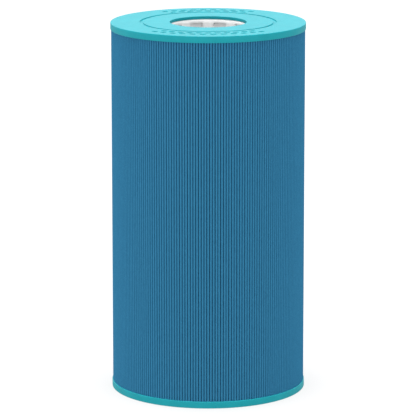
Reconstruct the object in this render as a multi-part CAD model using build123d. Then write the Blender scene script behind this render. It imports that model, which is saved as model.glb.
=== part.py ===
from build123d import *
import math
import os

# Pleated pool and spa filter cartridge, standing on its lower end cap.
# Millimetres, +Z up along the cartridge's axis, origin at the centre of the
# lower end cap's outer face.

os.makedirs("parts", exist_ok=True)

# ---------------------------------------------------------------- dimensions
# end caps: cast polyurethane discs
CAP_R = 113.5           # outer radius, a 227 mm (8-15/16 in) cartridge
TOTAL_H = 433.0         # overall length, 17-1/16 in
CAP_T = 7.9             # thickness of each cap at its rim, 5/16 in
CAP_EDGE = 0.6          # rounding of the rim's edges
BORE_R = 44.5           # hole through both caps and the core, 89 mm (3-1/2 in)
LIP_T = 3.4             # cap material over the core's end
LIP_EDGE = 0.4          # rounding of the hole's edge
GROOVE_R = 77.4         # mean radius of the shallow ring groove
GROOVE_W = 4.0
GROOVE_D = 1.2
POT_MEDIA = 4.0         # how deep the pleat ends are cast into each cap
POT_LINER = 3.0         # how deep the liner's ends are cast into each cap

# plain recessed bars on the upper cap, in two staggered rows front and back
BAR_RS = (87.6, 97.4)   # mean radii of the two rows
BAR_L = 7.8             # length of a bar, round ends included
BAR_W = 5.2             # radial width of a bar
BAR_D = 1.6             # depth of a bar
BAR_STEP = 7.0          # angle from one bar to the next in a row
BARS_FRONT = (11, 12)   # bars in the inner and outer rows centred on -Y
BARS_BACK = (9, 10)     # the same centred on +Y

# core: three moulded sections, spigot below and socket above
CORE_OR = 47.0          # outer radius, 2.5 mm wall
CORE_CHAMFER = 0.95     # inner edge of the core's two free ends
CORE_COLLAR = 4.6       # solid ring between a section's end and its first windows
WINDOWS = 10            # windows around
WINDOW_DEG = 20.2       # angle of a window at the bore
ROWS = 5                # rows of windows in a section
RING_H = 8.0            # ring between two rows
JOINT_LAP = 6.0         # overlap of a spigot in its socket
SPIGOT_OR = 45.60       # outer radius of the spigot
SOCKET_IR = 45.70       # inner radius of the socket
SNAP_H = 0.30           # height of the snap bead on the spigot
SNAP_W = 1.2
WINDOW_CORNER = 0.8

# liner: a thin sleeve wrapped round the core
LINER_T = 0.4

# pleated sheet
PLEATS = 222
MEDIA_T = 0.5           # thickness of the sheet
MEDIA_OR = 112.6        # radius over the outer folds
MEDIA_IR = 47.7         # radius inside the inner folds
FOLD_OUT = 1.1          # mid-line radius of an outer fold
FOLD_IN = 0.35          # mid-line radius of an inner fold
SEAM_DEG = 90.0         # the pleat where the sheet's two ends meet, at the back

# adhesive bead that joins the two ends of the sheet
BEAD_DEPTH = 9.0

# ------------------------------------------------------------ derived values
CORE_Z0 = LIP_T
CORE_Z1 = TOTAL_H - LIP_T
SECTION_H = (CORE_Z1 - CORE_Z0) / 3
WINDOW_H = (SECTION_H - 2 * CORE_COLLAR - (ROWS - 1) * RING_H) / ROWS
LINER_R0 = CORE_OR
LINER_R1 = CORE_OR + LINER_T
MEDIA_Z0 = CAP_T - POT_MEDIA
MEDIA_Z1 = TOTAL_H - CAP_T + POT_MEDIA
R_OUT = MEDIA_OR - FOLD_OUT - MEDIA_T / 2   # where the outer folds are centred
R_IN = MEDIA_IR + FOLD_IN + MEDIA_T / 2     # where the inner folds are centred
PITCH = 360.0 / PLEATS


def at(r, deg):
    a = math.radians(deg)
    return (r * math.cos(a), r * math.sin(a))


def add(p, q, s=1.0):
    return (p[0] + s * q[0], p[1] + s * q[1])


def revolved(points, edge_radii=()):
    """A solid of revolution about Z from (radius, height) points; edge_radii gives (radius, height, fillet) of corners to round."""
    face = make_face(Polyline([(r, z) for r, z in points], close=True))
    for r, z, size in edge_radii:
        corner = min(face.vertices(), key=lambda v: (v.X - r) ** 2 + (v.Y - z) ** 2)
        face = fillet(corner, size)
    standing = Plane.XZ * face
    return revolve(standing, axis=Axis.Z)


# ------------------------------------------------------------- pleated sheet
def flank(k, side):
    """The flank of pleat k on one side (+1 or -1): its normal, pointing from the outer fold's centre to the sheet, and the two folds' centres."""
    theta = SEAM_DEG + k * PITCH
    out = at(R_OUT, theta)
    inn = at(R_IN, theta + side * PITCH / 2)
    dx, dy = inn[0] - out[0], inn[1] - out[1]
    dist = math.hypot(dx, dy)
    e = (dx / dist, dy / dist)
    perp = (-e[1] * -side, e[0] * -side)
    s = (FOLD_OUT + FOLD_IN) / dist
    c = math.sqrt(1 - s * s)
    n = (s * e[0] + c * perp[0], s * e[1] + c * perp[1])
    # the normal points away from the pleat's own centre line
    return n, out, inn


def path_edges(offset):
    """The edges of the sheet's face that lies offset outside (+) or inside (-) its mid line, from the seam round to the seam."""
    ro, ri = FOLD_OUT + offset, FOLD_IN - offset
    edges = []
    for k in range(PLEATS):
        theta = SEAM_DEG + k * PITCH
        # down the far flank of pleat k to the next inner fold
        n, out, inn = flank(k, 1)
        a, b = add(out, n, ro), add(inn, n, -ri)
        edges.append(Edge.make_line(a, b))
        # round the inner fold to the near flank of pleat k + 1
        n2, out2, inn2 = flank(k + 1, -1)
        c = add(inn2, n2, -ri)
        edges.append(Edge.make_three_point_arc(b, at(R_IN - ri, theta + PITCH / 2), c))
        d = add(out2, n2, ro)
        edges.append(Edge.make_line(c, d))
        if k < PLEATS - 1:
            n3, out3, _ = flank(k + 1, 1)
            edges.append(
                Edge.make_three_point_arc(
                    d, at(R_OUT + ro, theta + PITCH), add(out3, n3, ro)
                )
            )
    return edges


outer_path = path_edges(MEDIA_T / 2)
inner_path = path_edges(-MEDIA_T / 2)
first_end = Edge.make_line(inner_path[0] @ 0, outer_path[0] @ 0)
last_end = Edge.make_line(outer_path[-1] @ 1, inner_path[-1] @ 1)
sheet_wire = Wire(outer_path + [last_end] + inner_path[::-1] + [first_end])
sheet_face = Face(sheet_wire)
mid_length = sum(e.length for e in path_edges(0.0))
pleated_media = Solid.extrude(sheet_face, Vector(0, 0, MEDIA_Z1 - MEDIA_Z0)).moved(
    Location((0, 0, MEDIA_Z0))
)

# the bead fills the seam pleat between its two flanks and rounds over its edge
n_r, o_r, _ = flank(0, 1)
n_l, o_l, _ = flank(0, -1)
face_off = FOLD_OUT - MEDIA_T / 2


def flank_point(n, centre, depth):
    """A point on the inner face of a seam flank, depth below the outer fold's centre."""
    base = add(centre, n, face_off)
    tangent = (n[1], -n[0])
    if tangent[0] * centre[0] + tangent[1] * centre[1] > 0:
        tangent = (-tangent[0], -tangent[1])
    return add(base, tangent, depth)


outer_end_r = add(o_r, n_r, FOLD_OUT + MEDIA_T / 2)
outer_end_l = add(o_l, n_l, FOLD_OUT + MEDIA_T / 2)
bead_wire = Wire(
    [
        Edge.make_line(flank_point(n_l, o_l, BEAD_DEPTH), flank_point(n_r, o_r, BEAD_DEPTH)),
        Edge.make_line(flank_point(n_r, o_r, BEAD_DEPTH), flank_point(n_r, o_r, 0)),
        Edge.make_line(flank_point(n_r, o_r, 0), outer_end_r),
        Edge.make_three_point_arc(
            outer_end_r, at(R_OUT + FOLD_OUT + MEDIA_T / 2, SEAM_DEG), outer_end_l
        ),
        Edge.make_line(outer_end_l, flank_point(n_l, o_l, 0)),
        Edge.make_line(flank_point(n_l, o_l, 0), flank_point(n_l, o_l, BEAD_DEPTH)),
    ]
)
media_seam_bead = Solid.extrude(Face(bead_wire), Vector(0, 0, MEDIA_Z1 - MEDIA_Z0)).moved(
    Location((0, 0, MEDIA_Z0))
)

# --------------------------------------------------------------------- liner
core_liner = revolved(
    [
        (LINER_R0, CAP_T - POT_LINER),
        (LINER_R1, CAP_T - POT_LINER),
        (LINER_R1, TOTAL_H - CAP_T + POT_LINER),
        (LINER_R0, TOTAL_H - CAP_T + POT_LINER),
    ]
)


# ---------------------------------------------------------------------- core
def core_section(index):
    """One of the three core sections, counted from below."""
    z0 = CORE_Z0 + index * SECTION_H
    z1 = z0 + SECTION_H
    lap = JOINT_LAP / 2
    pts = []
    # inside, from below
    if index == 0:
        pts += [(BORE_R + CORE_CHAMFER, z0), (BORE_R, z0 + CORE_CHAMFER)]
    else:
        pts += [(BORE_R, z0 - lap)]
    if index == 2:
        pts += [(BORE_R, z1 - CORE_CHAMFER), (BORE_R + CORE_CHAMFER, z1), (CORE_OR, z1)]
    else:
        # socket for the next section, with the groove for its snap bead
        pts += [(BORE_R, z1 - lap)]
        pts += [(SOCKET_IR, z1 - lap)]
        pts += [
            (SOCKET_IR, z1 - SNAP_W / 2 - 0.45),
            (SOCKET_IR + SNAP_H, z1 - SNAP_W / 2 + 0.05),
            (SOCKET_IR + SNAP_H, z1 + SNAP_W / 2 - 0.05),
            (SOCKET_IR, z1 + SNAP_W / 2 + 0.45),
        ]
        pts += [(SOCKET_IR, z1 + lap), (CORE_OR, z1 + lap)]
    # outside, back down
    if index == 0:
        pts += [(CORE_OR, z0)]
    else:
        pts += [(CORE_OR, z0 + lap), (SPIGOT_OR, z0 + lap)]
        pts += [
            (SPIGOT_OR, z0 + SNAP_W / 2 + 0.4),
            (SPIGOT_OR + SNAP_H, z0 + SNAP_W / 2),
            (SPIGOT_OR + SNAP_H, z0 - SNAP_W / 2),
            (SPIGOT_OR, z0 - SNAP_W / 2 - 0.4),
        ]
        pts += [(SPIGOT_OR - 0.4, z0 - lap)]
    body = revolved(pts)
    width = 2 * BORE_R * math.sin(math.radians(WINDOW_DEG / 2))
    cutters = []
    for row in range(ROWS):
        zc = z0 + CORE_COLLAR + WINDOW_H / 2 + row * (WINDOW_H + RING_H)
        for w in range(WINDOWS):
            deg = 90 + 18 + w * 360 / WINDOWS
            plane = Plane(
                origin=at(BORE_R - 3, deg) + (zc,),
                x_dir=(-math.sin(math.radians(deg)), math.cos(math.radians(deg)), 0),
                z_dir=(math.cos(math.radians(deg)), math.sin(math.radians(deg)), 0),
            )
            cutters.append(
                extrude(plane * RectangleRounded(width, WINDOW_H, WINDOW_CORNER), CORE_OR - BORE_R + 6)
            )
    return body - cutters


core_lower_section = core_section(0)
core_middle_section = core_section(1)
core_upper_section = core_section(2)

# ------------------------------------------------------------------ end caps
BARS = [
    (r, middle + (i - (count - 1) / 2) * BAR_STEP)
    for middle, counts in ((-90, BARS_FRONT), (90, BARS_BACK))
    for r, count in zip(BAR_RS, counts)
    for i in range(count)
]


def end_cap():
    """An end cap as it lies with its outer face down on Z = 0, before the pleats are cast into it."""
    g0, g1 = GROOVE_R - GROOVE_W / 2, GROOVE_R + GROOVE_W / 2
    return revolved(
        [
            (BORE_R, 0),
            (g0, 0),
            (g0 + 0.1, GROOVE_D),
            (g1 - 0.1, GROOVE_D),
            (g1, 0),
            (CAP_R, 0),
            (CAP_R, CAP_T),
            (LINER_R1, CAP_T),
            (LINER_R1, CAP_T - POT_LINER),
            (CORE_OR, CAP_T - POT_LINER),
            (CORE_OR, LIP_T),
            (BORE_R, LIP_T),
        ],
        [
            (BORE_R, 0, LIP_EDGE),
            (CAP_R, 0, CAP_EDGE),
            (CAP_R, CAP_T, CAP_EDGE),
        ],
    )


blank = end_cap()
bottom_blank = blank
top_blank = Location((0, 0, TOTAL_H), (180, 0, 0)) * blank
bars = []
for r, deg in BARS:
    span = math.degrees((BAR_L - BAR_W) / r)
    arc = CenterArc((0, 0), r, deg - span / 2, span)
    slot = Plane.XY.offset(TOTAL_H - BAR_D) * SlotArc(arc, BAR_W)
    bars.append(extrude(slot, BAR_D + 1))
top_blank = top_blank - bars

pack_ends = [pleated_media, media_seam_bead]
bottom_end_cap = bottom_blank - pack_ends
top_end_cap = top_blank - pack_ends

# -------------------------------------------------------------------- export
NODES = {
    "top_end_cap": top_end_cap,
    "bottom_end_cap": bottom_end_cap,
    "pleated_media": pleated_media,
    "media_seam_bead": media_seam_bead,
    "core_liner": core_liner,
    "core_upper_section": core_upper_section,
    "core_middle_section": core_middle_section,
    "core_lower_section": core_lower_section,
}
for name, shape in NODES.items():
    solids = shape.solids()
    out = solids[0] if len(solids) == 1 else Compound(children=list(solids))
    out.label = name
    export_step(out, f"parts/{name}.step")
    print(name, len(solids), "solid(s)", round(out.volume / 1000, 2), "cm3")
print("sheet length along its mid line", round(mid_length, 1), "mm, width", MEDIA_Z1 - MEDIA_Z0)
print("window height", round(WINDOW_H, 3), "section", round(SECTION_H, 3))
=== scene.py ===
import math

import bmesh
import bpy
import numpy as np
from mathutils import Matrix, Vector


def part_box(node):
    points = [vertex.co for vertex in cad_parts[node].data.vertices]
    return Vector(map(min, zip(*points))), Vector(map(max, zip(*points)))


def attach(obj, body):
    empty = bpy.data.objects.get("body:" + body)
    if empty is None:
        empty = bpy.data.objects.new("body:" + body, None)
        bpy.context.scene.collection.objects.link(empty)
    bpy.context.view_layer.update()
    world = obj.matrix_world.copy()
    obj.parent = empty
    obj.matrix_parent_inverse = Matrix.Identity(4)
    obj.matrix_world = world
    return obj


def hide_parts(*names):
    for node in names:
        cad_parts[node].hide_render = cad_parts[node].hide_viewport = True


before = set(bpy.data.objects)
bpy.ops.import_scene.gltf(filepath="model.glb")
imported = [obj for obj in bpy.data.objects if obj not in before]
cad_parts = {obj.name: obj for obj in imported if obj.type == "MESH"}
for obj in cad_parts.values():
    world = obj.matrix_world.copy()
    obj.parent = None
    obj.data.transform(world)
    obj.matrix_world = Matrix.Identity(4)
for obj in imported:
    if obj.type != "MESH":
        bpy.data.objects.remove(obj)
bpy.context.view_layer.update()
MM = 0.001
scene = bpy.context.scene
scene.view_settings.view_transform = "Standard"
scene.view_settings.look = "None"

# ------------------------------------------------------------------ sizes, mm
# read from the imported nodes
low, high = (np.array(c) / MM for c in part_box("top_end_cap"))
CAP_R = (high[0] - low[0]) / 2
TOTAL_H = high[2]
CAP_T = high[2] - low[2]
low, high = (np.array(c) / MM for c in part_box("pleated_media"))
MEDIA_Z0, MEDIA_Z1 = low[2], high[2]
low, high = (np.array(c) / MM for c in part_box("core_liner"))
LINER_R1 = 47.4
LINER_Z0, LINER_Z1 = low[2], high[2]
CORE_Z0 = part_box("core_lower_section")[0][2] / MM
CORE_Z1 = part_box("core_upper_section")[1][2] / MM
# shared with the design of the parts
BORE_R, LIP_EDGE, CAP_EDGE = 44.5, 0.4, 0.6
LIP_T = TOTAL_H - CORE_Z1
GROOVE_R, GROOVE_W, GROOVE_D = 77.4, 4.0, 1.2
BAR_RS, BAR_L, BAR_W, BAR_D, BAR_STEP = (87.6, 97.4), 7.8, 5.2, 1.6, 7.0
BARS_FRONT, BARS_BACK = (11, 12), (9, 10)
CORE_OR, CORE_CHAMFER, CORE_COLLAR = 47.0, 0.95, 4.6
WINDOWS, WINDOW_DEG, ROWS, RING_H = 10, 20.2, 5, 8.0
JOINT_LAP, SPIGOT_OR, SOCKET_IR, SNAP_H, SNAP_W = 6.0, 45.60, 45.70, 0.30, 1.2
SECTION_H = (CORE_Z1 - CORE_Z0) / 3
WINDOW_H = (SECTION_H - 2 * CORE_COLLAR - (ROWS - 1) * RING_H) / ROWS
WINDOW_CORNER = 0.8
PLEATS, MEDIA_T, MEDIA_OR, MEDIA_IR = 222, 0.5, 112.6, 47.7
FOLD_OUT, FOLD_IN, SEAM_DEG = 1.08, 0.35, 90.0
R_OUT = MEDIA_OR - FOLD_OUT - MEDIA_T / 2
R_IN = MEDIA_IR + FOLD_IN + MEDIA_T / 2
PITCH = 2 * math.pi / PLEATS


# ------------------------------------------------------------------ the camera
cam_data = bpy.data.cameras.new("camera")
cam_data.sensor_width = 36.0
cam_data.lens = 3157.66 / 416 * 36.0
cam_data.clip_start, cam_data.clip_end = 0.1, 60.0
camera = bpy.data.objects.new("camera", cam_data)
scene.collection.objects.link(camera)
camera.location = (-0.0002, -31.9594 * CAP_R * MM, 8.52603 * CAP_R * MM)
camera.rotation_euler = (math.radians(90 - 11.76163), 0, 0)
scene.camera = camera


# ------------------------------------------------------------- small helpers
def make_object(name, verts, faces, sharp_deg=35.0, uvs=None):
    """A mesh object from millimetre points. uvs gives one (u, v) for each corner, in metres."""
    mesh = bpy.data.meshes.new(name)
    v = np.asarray(verts, float) * MM
    mesh.from_pydata(v.tolist(), [], faces)
    mesh.update()
    if uvs is not None:
        layer = mesh.uv_layers.new(name="surface")
        layer.data.foreach_set("uv", np.asarray(uvs, np.float32).ravel())
    mesh.shade_smooth()
    mesh.set_sharp_from_angle(angle=math.radians(sharp_deg))
    obj = bpy.data.objects.new(name, mesh)
    scene.collection.objects.link(obj)
    return obj


def apply_modifiers(obj):
    dg = bpy.context.evaluated_depsgraph_get()
    mesh = bpy.data.meshes.new_from_object(obj.evaluated_get(dg))
    old = obj.data
    obj.modifiers.clear()
    obj.data = mesh
    bpy.data.meshes.remove(old)


def face_outward(mesh):
    """Turn every face of a closed mesh outward and drop what has no area."""
    bm = bmesh.new()
    bm.from_mesh(mesh)
    bmesh.ops.dissolve_degenerate(bm, dist=1e-6, edges=bm.edges)
    bmesh.ops.recalc_face_normals(bm, faces=bm.faces)
    if bm.calc_volume(signed=True) < 0:
        bmesh.ops.reverse_faces(bm, faces=bm.faces)
    bm.to_mesh(mesh)
    bm.free()


def arc_points(cr, cz, radius, a0, a1, n):
    """Points of an arc in the (r, z) plane, from angle a0 to a1 in degrees."""
    return [
        (
            cr + radius * math.cos(math.radians(a0 + (a1 - a0) * i / n)),
            cz + radius * math.sin(math.radians(a0 + (a1 - a0) * i / n)),
        )
        for i in range(n + 1)
    ]


def lathe(name, profile, angles, height=None, sharp_deg=35.0):
    """A closed ring from a closed (r, z) profile turned round Z. height(r, a) is added to z where the profile's third entry is true."""
    p = np.array([(q[0], q[1]) for q in profile])
    lift = np.array([len(q) > 2 and bool(q[2]) for q in profile])
    a = np.asarray(angles)
    n, m = len(p), len(a)
    r = np.repeat(p[:, 0:1], m, 1)
    z = np.repeat(p[:, 1:2], m, 1)
    aa = np.repeat(a[None, :], n, 0)
    if height is not None:
        z[lift] += height(r[lift], aa[lift])
    verts = np.stack([r * np.cos(aa), r * np.sin(aa), z], -1).reshape(-1, 3)
    i = np.arange(n)[:, None]
    j = np.arange(m)[None, :]
    i2, j2 = (i + 1) % n, (j + 1) % m
    quads = np.stack(
        [i * m + j, i * m + j2, i2 * m + j2, i2 * m + j], -1
    ).reshape(-1, 4)
    area = 0.5 * np.sum(p[:, 0] * np.roll(p[:, 1], -1) - np.roll(p[:, 0], -1) * p[:, 1])
    if area < 0:
        quads = quads[:, ::-1]
    # long surface coordinates: round the ring and along the profile
    along = np.r_[0, np.cumsum(np.linalg.norm(np.diff(np.vstack([p, p[:1]]), axis=0), axis=1))]
    turn = np.r_[a, a[0] + 2 * math.pi]
    jj = np.broadcast_to(j, (n, m))
    ii = np.broadcast_to(i, (n, m))
    u0, u1 = turn[jj] * CAP_R * 0.5, turn[jj + 1] * CAP_R * 0.5
    v0, v1 = along[ii], along[ii + 1]
    uv = np.stack(
        [np.stack([u0, v0], -1), np.stack([u1, v0], -1), np.stack([u1, v1], -1), np.stack([u0, v1], -1)],
        2,
    ).reshape(-1, 4, 2)
    if area < 0:
        uv = uv[:, ::-1]
    return make_object(name, verts, quads.tolist(), sharp_deg, uv.reshape(-1, 2) * MM)


# ------------------------------------------------------------------- end caps
BARS = [
    (r, math.radians(middle + (i - (count - 1) / 2) * BAR_STEP))
    for middle, counts in ((-90, BARS_FRONT), (90, BARS_BACK))
    for r, count in zip(BAR_RS, counts)
    for i in range(count)
]


def bars_depth(r, a):
    """How far the plain recessed bars lower the upper cap's face at radius r and angle a."""
    depth = np.zeros_like(r)
    for r0, a0 in BARS:
        s = r * ((a - a0 + math.pi) % (2 * math.pi) - math.pi)
        t = r - r0
        d = np.hypot(np.maximum(np.abs(s) - (BAR_L - BAR_W) / 2, 0), t) - BAR_W / 2
        depth = np.maximum(depth, np.clip((0.08 - d) / 0.46, 0, 1))
    return -BAR_D * depth * depth * (3 - 2 * depth)


def cap_profile():
    """An end cap's section with its outer face at z = 0 and its media side at z = -CAP_T. Points with a third entry take the bars."""
    g0, g1 = GROOVE_R - GROOVE_W / 2, GROOVE_R + GROOVE_W / 2
    pts = []
    # round the hole's edge
    pts += arc_points(BORE_R + LIP_EDGE, -LIP_EDGE, LIP_EDGE, 180, 90, 5)
    pts += [(46.5, 0), (52, 0), (60, 0), (68, 0), (g0 - 1.0, 0)]
    # ring groove with softened edges
    pts += [
        (g0 - 0.08, 0), (g0, -0.03), (g0 + 0.03, -0.10), (g0 + 0.08, -GROOVE_D + 0.10),
        (g0 + 0.12, -GROOVE_D + 0.03), (g0 + 0.2, -GROOVE_D), (GROOVE_R, -GROOVE_D),
        (g1 - 0.2, -GROOVE_D), (g1 - 0.12, -GROOVE_D + 0.03), (g1 - 0.08, -GROOVE_D + 0.10),
        (g1 - 0.03, -0.10), (g1, -0.03), (g1 + 0.08, 0),
    ]
    pts += [(81, 0), (83.2, 0, 1), (84.6, 0, 1)]
    for k, r0 in enumerate(BAR_RS):
        half = [0.6, 1.1, 1.5, 1.85] + [BAR_W / 2 + d for d in (-0.42, -0.33, -0.24, -0.15, -0.05, 0.04, 0.14)]
        for d in [-h for h in reversed(half)] + [0.0] + half:
            pts.append((r0 + d, 0, 1))
        if k == 0:
            pts += [(91.4, 0, 1), (94.2, 0, 1)]
    pts += [(100.2, 0, 1), (104, 0), (110, 0)]
    pts += arc_points(CAP_R - CAP_EDGE, -CAP_EDGE, CAP_EDGE, 90, 0, 7)
    pts += [(CAP_R, -CAP_T / 2)]
    pts += arc_points(CAP_R - CAP_EDGE, -CAP_T + CAP_EDGE, CAP_EDGE, 0, -90, 7)
    pts += [
        (108, -CAP_T), (80, -CAP_T), (60, -CAP_T), (LINER_R1, -CAP_T),
        (LINER_R1, -CAP_T + 3.0), (CORE_OR, -CAP_T + 3.0), (CORE_OR, -LIP_T), (BORE_R, -LIP_T),
    ]
    return pts


# small steps where the bars' round ends are, wider ones along their straight sides
steps = np.r_[np.arange(0, 0.6, 0.35), np.arange(0.7, 2.7, 0.14), np.arange(2.8, 3.45, 0.3)]
fine = [
    math.radians(c + side * (3.5 * k + d))
    for c, half in ((-90, 12), (90, 10))
    for side in (-1, 1)
    for k in range(half)
    for d in (steps if k % 2 == 0 else 3.5 - steps)
    if 3.5 * k + d < 3.5 * half - 0.4
]
coarse = [math.radians(k) for k in np.arange(-180, 180, 2.5) if not (-132 <= k <= -48 or 55 <= k <= 125)]
FINE_ANGLES = np.unique(np.round(fine + coarse, 7))
FINE_ANGLES = FINE_ANGLES[np.r_[True, np.diff(FINE_ANGLES) > 1e-4]]
EVEN_ANGLES = np.radians(np.arange(0, 360, 0.75))
print("upper cap's angles", len(FINE_ANGLES), "points in its section", len(cap_profile()))

profile = cap_profile()
top_cap = lathe(
    "top_end_cap_cast",
    [(q[0], q[1] + TOTAL_H) + tuple(q[2:]) for q in profile],
    FINE_ANGLES,
    height=bars_depth,
)
bottom_cap = lathe(
    "bottom_end_cap_cast",
    [(q[0], -q[1]) for q in profile],
    EVEN_ANGLES,
)


# -------------------------------------------------------------- pleated sheet
def sheet_rows():
    rows = [MEDIA_Z0, CAP_T, CAP_T + 6]
    rows += list(np.linspace(CAP_T + 30, TOTAL_H - CAP_T - 30, 7))
    rows += [TOTAL_H - CAP_T - 6, TOTAL_H - CAP_T, MEDIA_Z1]
    return rows


def sheet_section(z, jitter):
    """The sheet's outer and inner side at one height: two arrays of points, from the seam round to the seam, and the mid-line distance of each point."""
    k = np.arange(PLEATS + 1)
    theta = math.radians(SEAM_DEG) + k * PITCH
    span = np.clip((z - CAP_T) / 40, 0, 1) * np.clip((TOTAL_H - CAP_T - z) / 40, 0, 1)
    sway = np.zeros(PLEATS + 1)
    push = np.zeros(PLEATS + 1)
    zz = z / TOTAL_H
    sway[1:-1] = span * (
        0.04 * jitter["a"] + 0.04 * np.sin(2 * math.pi * (zz * jitter["f"] + jitter["p"]))
    )
    push[1:-1] = -span * (0.03 + 0.03 * np.sin(2 * math.pi * (zz * jitter["g"] + jitter["q"])))
    to = theta + sway / R_OUT
    ro = R_OUT + push
    outer = np.stack([ro * np.cos(to), ro * np.sin(to)], -1)
    ti = math.radians(SEAM_DEG) + (np.arange(-1, PLEATS + 1) + 0.5) * PITCH
    inner = np.stack([R_IN * np.cos(ti), R_IN * np.sin(ti)], -1)

    def normals(side):
        o = outer
        i = inner[1:] if side > 0 else inner[:-1]
        e = i - o
        dist = np.linalg.norm(e, axis=1, keepdims=True)
        e = e / dist
        perp = np.stack([e[:, 1] * side, -e[:, 0] * side], -1)
        s = (FOLD_OUT + FOLD_IN) / dist
        return s * e + np.sqrt(1 - s * s) * perp, o, i

    n_far, o_far, i_far = normals(1)
    n_near, o_near, i_near = normals(-1)
    sides = []
    for off in (MEDIA_T / 2, -MEDIA_T / 2):
        a, b = FOLD_OUT + off, FOLD_IN - off
        pts = []
        for q in range(PLEATS):
            # far flank of pleat q, from its outer fold down
            p0 = o_far[q] + n_far[q] * a
            p1 = i_far[q] - n_far[q] * b
            run = (p1 - p0) / np.linalg.norm(p1 - p0)
            pts += [p0, p0 + run * 1.6]
            # inner fold
            p2 = i_near[q + 1] - n_near[q + 1] * b
            c = i_far[q]
            pts += arc2(c, b, p1, p2, -c / np.linalg.norm(c), 4)
            p3 = o_near[q + 1] + n_near[q + 1] * a
            run = (p2 - p3) / np.linalg.norm(p2 - p3)
            pts += [p3 + run * 1.6]
            if q < PLEATS - 1:
                c = o_near[q + 1]
                p4 = o_far[q + 1] + n_far[q + 1] * a
                pts += arc2(c, a, p3, p4, c / np.linalg.norm(c), 8)[:-1]
            else:
                pts += [p3]
        sides.append(np.array(pts))
    mid = (sides[0] + sides[1]) / 2
    dist = np.r_[0, np.cumsum(np.linalg.norm(np.diff(mid, axis=0), axis=1))]
    return sides[0], sides[1], dist


def arc2(c, radius, start, end, through, n):
    """Points of a plane arc about c from start to end, passing the direction through."""
    a0 = math.atan2(start[1] - c[1], start[0] - c[0])
    a1 = math.atan2(end[1] - c[1], end[0] - c[0])
    am = math.atan2(through[1], through[0])
    d = (a1 - a0) % (2 * math.pi)
    if (am - a0) % (2 * math.pi) > d:
        d -= 2 * math.pi
    a = a0 + d * np.arange(n + 1) / n
    return [c + radius * np.array([math.cos(x), math.sin(x)]) for x in a]


rng = np.random.default_rng(7)
jitter = {
    "a": rng.uniform(-1, 1, PLEATS - 1),
    "p": rng.uniform(0, 1, PLEATS - 1),
    "q": rng.uniform(0, 1, PLEATS - 1),
    "f": rng.uniform(0.6, 1.6, PLEATS - 1),
    "g": rng.uniform(0.6, 1.8, PLEATS - 1),
}
zs = sheet_rows()
rings, dists = [], []
for z in zs:
    o, i, dist = sheet_section(z, jitter)
    loop = np.vstack([o, i[::-1]])
    rings.append(np.column_stack([loop, np.full(len(loop), z)]))
    dists.append(dist)
half = len(dists[0])
m = 2 * half
verts = np.vstack(rings)
faces, uvs = [], []
u_of = np.r_[dists[0], dists[0][::-1]]
for r in range(len(zs) - 1):
    base, up = r * m, (r + 1) * m
    for j in range(m):
        j2 = (j + 1) % m
        faces.append((base + j, base + j2, up + j2, up + j))
        uvs += [(u_of[j], zs[r]), (u_of[j2], zs[r]), (u_of[j2], zs[r + 1]), (u_of[j], zs[r + 1])]
for r, flip in ((0, True), (len(zs) - 1, False)):
    base = r * m
    for j in range(half - 1):
        quad = [base + j, base + j + 1, base + m - 2 - j, base + m - 1 - j]
        uv = [(u_of[j], zs[r]), (u_of[j + 1], zs[r]), (u_of[j + 1], zs[r] + 0.5), (u_of[j], zs[r] + 0.5)]
        if flip:
            quad, uv = quad[::-1], uv[::-1]
        faces.append(tuple(quad))
        uvs += uv
media = make_object(
    "pleated_media_sheet", verts, faces, 50.0, np.array(uvs) * MM
)
print("media faces", len(faces), "mid length", dists[5][-1])


# ------------------------------------------------------------------ seam bead
def seam_bead():
    """A hot-melt strip that fills the seam pleat and rounds over the sheet's two edges, a little uneven along its length."""
    rows = np.linspace(MEDIA_Z0, MEDIA_Z1, 140)
    c = np.array([0.0, R_OUT])
    zz = rows / TOTAL_H
    swell = 0.5 + 0.5 * np.sin(2 * math.pi * (zz * 17 + 0.2)) * np.sin(2 * math.pi * (zz * 6.3 + 0.1))
    sag = 0.5 + 0.5 * np.sin(2 * math.pi * (zz * 29 + 0.4))
    verts, faces, uvs = [], [], []
    for z, w, s in zip(rows, swell, sag):
        inside = np.clip((z - CAP_T) / 4, 0, 1) * np.clip((TOTAL_H - CAP_T - z) / 4, 0, 1)
        out = FOLD_OUT + MEDIA_T / 2 - 0.02 - inside * (0.05 + 0.16 * w)
        wide = FOLD_OUT + MEDIA_T / 2 - inside * 0.06 * s
        pts = [(-0.73, -9.0 + 1.5 * w), (-0.815, -2.0), (-0.84, 0.0), (-wide, 0.03)]
        for i in range(1, 8):
            t = math.pi - math.pi * i / 8
            pts.append((wide * math.cos(t), 0.03 + (out - 0.03) * math.sin(t)))
        pts += [(wide, 0.03), (0.84, 0.0), (0.815, -2.0), (0.73, -9.0 + 1.5 * w)]
        verts += [(c[0] + x, c[1] + y, z) for x, y in pts]
    n = len(pts)
    for r in range(len(rows) - 1):
        for j in range(n):
            j2 = (j + 1) % n
            faces.append((r * n + j, (r + 1) * n + j, (r + 1) * n + j2, r * n + j2))
    faces.append(tuple(range(n)))
    faces.append(tuple(reversed(range((len(rows) - 1) * n, len(rows) * n))))
    return make_object("media_seam_bead_strip", verts, faces, 60.0)


bead = seam_bead()

# ---------------------------------------------------------------------- liner
liner_rows = np.linspace(LINER_Z0, LINER_Z1, 60)
liner_profile = [(CORE_OR, z) for z in liner_rows] + [(LINER_R1, z) for z in liner_rows[::-1]]
liner = lathe("core_liner_net", liner_profile, np.radians(np.arange(0, 360, 1.5)))


# ----------------------------------------------------------------------- core
HALF_W = BORE_R * math.sin(math.radians(WINDOW_DEG / 2))
COLS_W, COLS_R = 10, 8


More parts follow.
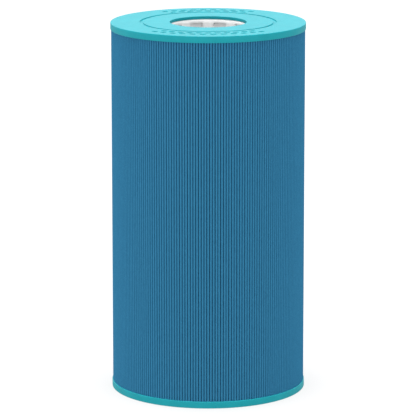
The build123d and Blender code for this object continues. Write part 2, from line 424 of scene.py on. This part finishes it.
def core_columns(r):
    """Angles of the column lines at radius r: COLS_W cells across each window, then COLS_R across each rib, with the windows' sides parallel."""
    angles = []
    for w in range(WINDOWS):
        mid = math.radians(90 + 18 + w * 360 / WINDOWS)
        nxt = mid + 2 * math.pi / WINDOWS
        edge = math.asin(HALF_W / r)
        for i in range(COLS_W):
            angles.append(mid + math.asin(HALF_W * (2 * i / COLS_W - 1) / r))
        a, b = mid + edge, nxt - edge
        for i in range(COLS_R):
            angles.append(a + (b - a) * i / COLS_R)
    return angles


def core_section(index, name):
    z0 = CORE_Z0 + index * SECTION_H
    z1 = z0 + SECTION_H
    lap = JOINT_LAP / 2
    rows = [
        (
            z0 + CORE_COLLAR + i * (WINDOW_H + RING_H),
            z0 + CORE_COLLAR + i * (WINDOW_H + RING_H) + WINDOW_H,
        )
        for i in range(ROWS)
    ]
    lines = [z for pair in rows for z in (pair[0], (pair[0] + pair[1]) / 2, pair[1])]
    loop = []  # (r, z, side) with side "in", "out" or ""
    if index == 0:
        loop += [(BORE_R + CORE_CHAMFER, z0, ""), (BORE_R, z0 + CORE_CHAMFER, "in")]
    else:
        loop += [(BORE_R, z0 - lap, "in")]
    loop += [(BORE_R, z, "in") for z in lines]
    if index == 2:
        loop += [(BORE_R, z1 - CORE_CHAMFER, "in"), (BORE_R + CORE_CHAMFER, z1, ""), (CORE_OR, z1, "out")]
    else:
        loop += [
            (BORE_R, z1 - lap, "in"), (SOCKET_IR, z1 - lap, ""),
            (SOCKET_IR, z1 - SNAP_W / 2 - 0.45, ""), (SOCKET_IR + SNAP_H, z1 - SNAP_W / 2 + 0.05, ""),
            (SOCKET_IR + SNAP_H, z1 + SNAP_W / 2 - 0.05, ""), (SOCKET_IR, z1 + SNAP_W / 2 + 0.45, ""),
            (SOCKET_IR, z1 + lap, ""), (CORE_OR, z1 + lap, "out"),
        ]
    loop += [(CORE_OR, z, "out") for z in reversed(lines)]
    if index == 0:
        loop += [(CORE_OR, z0, "out")]
    else:
        loop += [
            (CORE_OR, z0 + lap, "out"), (SPIGOT_OR, z0 + lap, ""),
            (SPIGOT_OR, z0 + SNAP_W / 2 + 0.4, ""), (SPIGOT_OR + SNAP_H, z0 + SNAP_W / 2, ""),
            (SPIGOT_OR + SNAP_H, z0 - SNAP_W / 2, ""), (SPIGOT_OR, z0 - SNAP_W / 2 - 0.4, ""),
            (SPIGOT_OR - 0.4, z0 - lap, ""),
        ]
    n, m = len(loop), WINDOWS * (COLS_W + COLS_R)
    cols = {r: core_columns(r) for r in {q[0] for q in loop}}
    verts = [
        (r * math.cos(a), r * math.sin(a), z) for r, z, _ in loop for a in cols[r]
    ]
    row_of = {}
    for i, (r, z, side) in enumerate(loop):
        if side:
            row_of[side, round(z, 4)] = i

    def in_window(za, zb):
        lo, hi = min(za, zb), max(za, zb)
        return any(lo >= a - 1e-6 and hi <= b + 1e-6 for a, b in rows)

    faces = []
    for i in range(n):
        i2 = (i + 1) % n
        same = loop[i][2] and loop[i][2] == loop[i2][2]
        cut = same and in_window(loop[i][1], loop[i2][1])
        for j in range(m):
            if cut and j % (COLS_W + COLS_R) < COLS_W:
                continue
            j2 = (j + 1) % m
            faces.append((i * m + j, i2 * m + j, i2 * m + j2, i * m + j2))
    corner_edges = []
    for za, zb in rows:
        zm = (za + zb) / 2
        for w in range(WINDOWS):
            first = w * (COLS_W + COLS_R)
            last = (first + COLS_W) % m
            for lo, hi in ((za, zm), (zm, zb)):
                for col, flip in ((first, False), (last, True)):
                    quad = [
                        row_of["in", round(lo, 4)] * m + col,
                        row_of["in", round(hi, 4)] * m + col,
                        row_of["out", round(hi, 4)] * m + col,
                        row_of["out", round(lo, 4)] * m + col,
                    ]
                    faces.append(tuple(quad if flip else quad[::-1]))
            for z, flip in ((za, False), (zb, True)):
                ri, ro = row_of["in", round(z, 4)], row_of["out", round(z, 4)]
                for j in range(first, first + COLS_W):
                    quad = [ri * m + j, ri * m + (j + 1) % m, ro * m + (j + 1) % m, ro * m + j]
                    faces.append(tuple(quad[::-1] if flip else quad))
                for col in (first, last):
                    corner_edges.append((ri * m + col, ro * m + col))
    obj = make_object(name, verts, faces, 35.0)
    mesh = obj.data
    face_outward(mesh)
    wanted = {tuple(sorted(e)) for e in corner_edges}
    weight = mesh.attributes.new("bevel_weight_edge", "FLOAT", "EDGE")
    values = np.zeros(len(mesh.edges), np.float32)
    for e in mesh.edges:
        if tuple(sorted(e.vertices)) in wanted:
            values[e.index] = 1.0
    weight.data.foreach_set("value", values)
    round_corners = obj.modifiers.new("corners", "BEVEL")
    round_corners.limit_method = "WEIGHT"
    round_corners.width = WINDOW_CORNER * MM
    round_corners.segments = 3
    round_corners.use_clamp_overlap = False
    soften = obj.modifiers.new("edges", "BEVEL")
    soften.limit_method = "ANGLE"
    soften.angle_limit = math.radians(50)
    soften.width = 0.15 * MM
    soften.segments = 2
    soften.use_clamp_overlap = False
    apply_modifiers(obj)
    face_outward(obj.data)
    obj.data.shade_smooth()
    obj.data.set_sharp_from_angle(angle=math.radians(48))
    return obj


core_lower = core_section(0, "core_lower_section_moulded")
core_middle = core_section(1, "core_middle_section_moulded")
core_upper = core_section(2, "core_upper_section_moulded")


# ------------------------------------------------------------------ materials
def srgb(r, g, b):
    out = []
    for c in (r, g, b):
        c /= 255
        out.append(c / 12.92 if c <= 0.04045 else ((c + 0.055) / 1.055) ** 2.4)
    return (*out, 1.0)


class Nodes:
    """A short way to write a material's nodes."""

    def __init__(self, name):
        self.mat = bpy.data.materials.new(name)
        self.mat.use_nodes = True
        self.tree = self.mat.node_tree
        self.tree.nodes.clear()
        self.out = self.new("ShaderNodeOutputMaterial")
        self.bsdf = self.new("ShaderNodeBsdfPrincipled")
        self.link(self.bsdf, "BSDF", self.out, "Surface")

    def new(self, kind, **settings):
        node = self.tree.nodes.new(kind)
        for key, value in settings.items():
            if hasattr(node, key):
                setattr(node, key, value)
            else:
                node.inputs[key.replace("_", " ")].default_value = value
        return node

    def link(self, a, out, b, into):
        self.tree.links.new(a.outputs[out], b.inputs[into])

    def noise(self, coords, scale, detail=2.0, rough=0.5, socket="Object", stretch=None, distortion=0.0):
        source, name = coords, socket
        if stretch is not None:
            # stretched along its own turned axes: turned first, then divided by the scale
            mapping = self.new("ShaderNodeMapping", vector_type="TEXTURE")
            mapping.inputs["Scale"].default_value = stretch[0]
            mapping.inputs["Rotation"].default_value = stretch[1]
            self.link(coords, socket, mapping, "Vector")
            source, name = mapping, "Vector"
        node = self.new("ShaderNodeTexNoise")
        node.inputs["Scale"].default_value = scale
        node.inputs["Detail"].default_value = detail
        node.inputs["Roughness"].default_value = rough
        node.inputs["Distortion"].default_value = distortion
        self.link(source, name, node, "Vector")
        return node

    def ramp(self, source, out, stops):
        node = self.new("ShaderNodeValToRGB")
        ramp = node.color_ramp
        while len(ramp.elements) < len(stops):
            ramp.elements.new(0.5)
        for e, (pos, colour) in zip(ramp.elements, stops):
            e.position, e.color = pos, colour
        self.link(source, out, node, "Fac")
        return node

    def maths(self, operation, a, b=None):
        node = self.new("ShaderNodeMath", operation=operation)
        for k, value in enumerate((a, b)):
            if value is None:
                continue
            if isinstance(value, tuple):
                self.tree.links.new(value[0].outputs[value[1]], node.inputs[k])
            else:
                node.inputs[k].default_value = value
        return node

    def bump(self, height, out, strength, distance, after=None):
        node = self.new("ShaderNodeBump")
        node.inputs["Strength"].default_value = strength
        node.inputs["Distance"].default_value = distance
        self.link(height, out, node, "Height")
        if after is not None:
            self.link(after, "Normal", node, "Normal")
        return node


def grey(v):
    return (v, v, v, 1.0)


def cap_material():
    n = Nodes("cast_polyurethane_turquoise")
    c = n.new("ShaderNodeTexCoord")
    cloud = n.noise(c, 45.0, 5.0, 0.62)
    speck = n.noise(c, 1500.0, 3.0, 0.65)
    tone = n.ramp(cloud, "Fac", [(0.30, (0.0042, 0.279, 0.329, 1)), (0.70, (0.0062, 0.309, 0.361, 1))])
    fleck = n.ramp(speck, "Fac", [(0.30, grey(0.90)), (0.60, grey(1.01))])
    mix = n.new("ShaderNodeMix", data_type="RGBA", blend_type="MULTIPLY")
    mix.inputs[0].default_value = 1.0
    n.tree.links.new(tone.outputs["Color"], mix.inputs[6])
    n.tree.links.new(fleck.outputs["Color"], mix.inputs[7])
    n.tree.links.new(mix.outputs[2], n.bsdf.inputs["Base Color"])
    # the open-cast faces are smoother than the rim and the hole's wall, which lay against the mould
    rough = n.noise(c, 160.0, 3.0, 0.6)
    r = n.ramp(rough, "Fac", [(0.25, grey(-0.05)), (0.75, grey(0.05))])
    shape = n.new("ShaderNodeNewGeometry")
    split = n.new("ShaderNodeSeparateXYZ")
    n.link(shape, "True Normal", split, "Vector")
    flat = n.maths("ABSOLUTE", (split, "Z"))
    side = n.new("ShaderNodeMapRange")
    n.link(flat, "Value", side, "Value")
    side.inputs["To Min"].default_value = 0.60
    side.inputs["To Max"].default_value = 0.38
    total = n.new("ShaderNodeMath", operation="ADD")
    n.tree.links.new(side.outputs["Result"], total.inputs[0])
    n.tree.links.new(r.outputs["Color"], total.inputs[1])
    n.tree.links.new(total.outputs["Value"], n.bsdf.inputs["Roughness"])
    n.bsdf.inputs["IOR"].default_value = 1.29
    peel = n.noise(c, 420.0, 2.0, 0.5)
    grain = n.noise(c, 3800.0, 2.0, 0.6)
    # a few pinholes left by small bubbles
    holes = n.new("ShaderNodeTexVoronoi", feature="F1")
    holes.inputs["Scale"].default_value = 210.0
    n.link(c, "Object", holes, "Vector")
    pinhole = n.ramp(holes, "Distance", [(0.035, grey(0.0)), (0.055, grey(1.0))])
    b1 = n.bump(peel, "Fac", 0.35, 0.00015)
    b2 = n.bump(grain, "Fac", 0.35, 0.00004, b1)
    b3 = n.bump(pinhole, "Color", 0.8, 0.00012, b2)
    n.link(b3, "Normal", n.bsdf, "Normal")
    return n.mat


def media_material():
    n = Nodes("spunbond_polyester_blue")
    uv = n.new("ShaderNodeUVMap", uv_map="surface")
    # fibres: long thin noise laid at several angles in the sheet's own plane
    layers = []
    for angle, size in ((0.15, 5200), (0.95, 4600), (1.75, 5600), (2.45, 4900)):
        layers.append(
            n.noise(uv, size, 2.0, 0.55, "UV", ((1.0, 13.0, 1.0), (0, 0, angle)), 0.6)
        )
    m1 = n.maths("MAXIMUM", (layers[0], "Fac"), (layers[1], "Fac"))
    m2 = n.maths("MAXIMUM", (layers[2], "Fac"), (layers[3], "Fac"))
    fibre = n.maths("MAXIMUM", (m1, "Value"), (m2, "Value"))
    cloud = n.noise(uv, 170.0, 3.0, 0.6, "UV")
    both = n.maths("ADD", (fibre, "Value"), None)
    scaled = n.new("ShaderNodeMath", operation="MULTIPLY_ADD")
    n.tree.links.new(cloud.outputs["Fac"], scaled.inputs[0])
    scaled.inputs[1].default_value = 0.12
    scaled.inputs[2].default_value = 0.215
    n.tree.links.new(scaled.outputs["Value"], both.inputs[1])
    tone = n.ramp(
        both, "Value",
        [(0.70, (0.0228, 0.134, 0.252, 1)), (0.90, (0.0322, 0.185, 0.331, 1)), (1.0, (0.0430, 0.228, 0.394, 1))],
    )
    n.bsdf.inputs["Roughness"].default_value = 0.92
    n.bsdf.inputs["IOR"].default_value = 1.12
    # thermal bond points, in offset rows
    bond = n.new("ShaderNodeTexVoronoi", feature="F1")
    bond.inputs["Scale"].default_value = 820.0
    bond.inputs["Randomness"].default_value = 0.25
    n.link(uv, "UV", bond, "Vector")
    pit = n.ramp(bond, "Distance", [(0.16, grey(0.0)), (0.30, grey(1.0))])
    fused = n.ramp(bond, "Distance", [(0.16, grey(0.86)), (0.30, grey(1.0))])
    mix = n.new("ShaderNodeMix", data_type="RGBA", blend_type="MULTIPLY")
    mix.inputs[0].default_value = 1.0
    n.tree.links.new(tone.outputs["Color"], mix.inputs[6])
    n.tree.links.new(fused.outputs["Color"], mix.inputs[7])
    n.tree.links.new(mix.outputs[2], n.bsdf.inputs["Base Color"])
    b1 = n.bump(fibre, "Value", 0.7, 0.00009)
    b2 = n.bump(pit, "Color", 0.5, 0.00006, b1)
    n.link(b2, "Normal", n.bsdf, "Normal")
    return n.mat


def bead_material():
    n = Nodes("hot_melt_blue")
    c = n.new("ShaderNodeTexCoord")
    cloud = n.noise(c, 240.0, 3.0, 0.6)
    tone = n.ramp(cloud, "Fac", [(0.3, (0.024, 0.150, 0.280, 1)), (0.7, (0.036, 0.200, 0.355, 1))])
    n.tree.links.new(tone.outputs["Color"], n.bsdf.inputs["Base Color"])
    rough = n.ramp(cloud, "Fac", [(0.3, grey(0.30)), (0.7, grey(0.46))])
    n.tree.links.new(rough.outputs["Color"], n.bsdf.inputs["Roughness"])
    n.bsdf.inputs["IOR"].default_value = 1.38
    ripple = n.noise(c, 700.0, 2.0, 0.5, "Object", ((1, 1, 2.8), (0, 0, 0)))
    b = n.bump(ripple, "Fac", 0.4, 0.00012)
    n.link(b, "Normal", n.bsdf, "Normal")
    return n.mat


def core_material():
    n = Nodes("moulded_plastic_white")
    c = n.new("ShaderNodeTexCoord")
    cloud = n.noise(c, 60.0, 3.0, 0.6)
    tone = n.ramp(cloud, "Fac", [(0.3, (0.850, 0.852, 0.850, 1)), (0.7, (0.868, 0.870, 0.868, 1))])
    n.tree.links.new(tone.outputs["Color"], n.bsdf.inputs["Base Color"])
    rough = n.noise(c, 300.0, 3.0, 0.6)
    r = n.ramp(rough, "Fac", [(0.25, grey(0.34)), (0.75, grey(0.46))])
    n.tree.links.new(r.outputs["Color"], n.bsdf.inputs["Roughness"])
    n.bsdf.inputs["IOR"].default_value = 1.50
    # faint flow lines along the core and fine mould grain
    flow = n.noise(c, 90.0, 3.0, 0.6, "Object", ((1, 1, 8.0), (0, 0, 0)))
    grain = n.noise(c, 3000.0, 2.0, 0.6)
    b1 = n.bump(flow, "Fac", 0.15, 0.0002)
    b2 = n.bump(grain, "Fac", 0.15, 0.00003, b1)
    n.link(b2, "Normal", n.bsdf, "Normal")
    return n.mat


def liner_material():
    n = Nodes("fine_net_white")
    uv = n.new("ShaderNodeUVMap", uv_map="surface")
    heights = []
    for axis in ("X", "Y"):
        w = n.new("ShaderNodeTexWave", wave_type="BANDS", bands_direction=axis, wave_profile="SIN")
        w.inputs["Scale"].default_value = 330.0
        w.inputs["Distortion"].default_value = 0.8
        w.inputs["Detail"].default_value = 2.0
        w.inputs["Detail Scale"].default_value = 3.0
        n.link(uv, "UV", w, "Vector")
        heights.append(w)
    net = n.maths("MAXIMUM", (heights[0], "Fac"), (heights[1], "Fac"))
    tone = n.ramp(net, "Value", [(0.35, (0.70, 0.71, 0.72, 1)), (0.8, (0.84, 0.84, 0.84, 1))])
    n.tree.links.new(tone.outputs["Color"], n.bsdf.inputs["Base Color"])
    n.bsdf.inputs["Roughness"].default_value = 0.85
    b = n.bump(net, "Value", 0.6, 0.00015)
    n.link(b, "Normal", n.bsdf, "Normal")
    return n.mat


def floor_material():
    n = Nodes("floor_pale")
    c = n.new("ShaderNodeTexCoord")
    cloud = n.noise(c, 3.0, 2.0, 0.5)
    tone = n.ramp(cloud, "Fac", [(0.3, grey(0.197)), (0.7, grey(0.203))])
    n.tree.links.new(tone.outputs["Color"], n.bsdf.inputs["Base Color"])
    n.bsdf.inputs["Roughness"].default_value = 0.9
    n.bsdf.inputs["Specular IOR Level"].default_value = 0.0
    n.bsdf.inputs["Emission Color"].default_value = grey(1.0)
    n.bsdf.inputs["Emission Strength"].default_value = 0.655
    return n.mat


caps_mat, media_mat, core_mat = cap_material(), media_material(), core_material()
bead_mat, liner_mat, floor_mat = bead_material(), liner_material(), floor_material()
for obj, mat in (
    (top_cap, caps_mat), (bottom_cap, caps_mat), (media, media_mat), (bead, bead_mat),
    (liner, liner_mat), (core_lower, core_mat), (core_middle, core_mat), (core_upper, core_mat),
):
    obj.data.materials.clear()
    obj.data.materials.append(mat)
for node, mat in (
    ("top_end_cap", caps_mat), ("bottom_end_cap", caps_mat), ("pleated_media", media_mat),
    ("media_seam_bead", bead_mat), ("core_liner", liner_mat), ("core_upper_section", core_mat),
    ("core_middle_section", core_mat), ("core_lower_section", core_mat),
):
    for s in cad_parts[node].material_slots:
        s.material = mat

# ------------------------------------------------------- what stands for what
for obj, node in (
    (top_cap, "top_end_cap"), (bottom_cap, "bottom_end_cap"), (media, "pleated_media"),
    (bead, "media_seam_bead"), (liner, "core_liner"), (core_lower, "core_lower_section"),
    (core_middle, "core_middle_section"), (core_upper, "core_upper_section"),
):
    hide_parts(node)
    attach(obj, "root")

# ------------------------------------------------------------ floor and light
floor_mesh = bpy.data.meshes.new("floor")
S = 14.0
floor_mesh.from_pydata([(-S, -S, 0), (S, -S, 0), (S, S, 0), (-S, S, 0)], [], [(0, 1, 2, 3)])
floor_mesh.materials.append(floor_mat)
floor = bpy.data.objects.new("floor", floor_mesh)
floor.location = (0, 0, -0.0002)
scene.collection.objects.link(floor)

# a white studio: brighter in front and on the left, white at floor level and low behind
world = bpy.data.worlds.new("studio")
world.use_nodes = True
scene.world = world
tree = world.node_tree
background = tree.nodes["Background"]
background.inputs["Color"].default_value = (1.0, 1.0, 1.0, 1.0)
direction = tree.nodes.new("ShaderNodeTexCoord")
split = tree.nodes.new("ShaderNodeSeparateXYZ")
tree.links.new(direction.outputs["Generated"], split.inputs["Vector"])


def world_ramp(axis, stops):
    node = tree.nodes.new("ShaderNodeValToRGB")
    while len(node.color_ramp.elements) < len(stops):
        node.color_ramp.elements.new(0.5)
    for e, (pos, v) in zip(node.color_ramp.elements, stops):
        e.position, e.color = pos, (v, v, v, 1.0)
    tree.links.new(split.outputs[axis], node.inputs["Fac"])
    return node


def world_maths(operation, a, b):
    node = tree.nodes.new("ShaderNodeMath")
    node.operation = operation
    for k, value in enumerate((a, b)):
        if isinstance(value, float):
            node.inputs[k].default_value = value
        else:
            tree.links.new(value, node.inputs[k])
    return node.outputs["Value"]


tilt = tree.nodes.new("ShaderNodeVectorMath")
tilt.operation = "DOT_PRODUCT"
tilt.inputs[1].default_value = (-0.20, -0.15, 0.0)
tree.links.new(direction.outputs["Generated"], tilt.inputs[0])
room = world_maths("ADD", tilt.outputs["Value"], 1.05)
horizon = world_ramp("Z", ((0.03, 1.05), (0.08, 0.0)))
low = world_ramp("Z", ((0.25, 1.0), (0.50, 0.0)))
behind = world_ramp("Y", ((0.25, 0.0), (0.65, 1.15)))
backdrop = world_maths("MULTIPLY", low.outputs["Color"], behind.outputs["Color"])
brighter = world_maths("MAXIMUM", room, horizon.outputs["Color"])
brighter = world_maths("MAXIMUM", brighter, backdrop)
tree.links.new(brighter, background.inputs["Strength"])


def soft_sun(name, azimuth, elevation, strength, spread):
    """A large soft light far away. Azimuth 0 is the camera's side and 90 the right; strength is what it adds to a white surface that faces it."""
    data = bpy.data.lights.new(name, "SUN")
    data.energy = strength * math.pi
    data.angle = math.radians(spread)
    light = bpy.data.objects.new(name, data)
    a, e = math.radians(azimuth), math.radians(elevation)
    toward = Vector((math.sin(a) * math.cos(e), -math.cos(a) * math.cos(e), math.sin(e)))
    light.rotation_euler = toward.to_track_quat("Z", "Y").to_euler()
    light.location = toward * 2
    scene.collection.objects.link(light)
    return light


soft_sun("overhead", 0, 90, 1.33, 26)
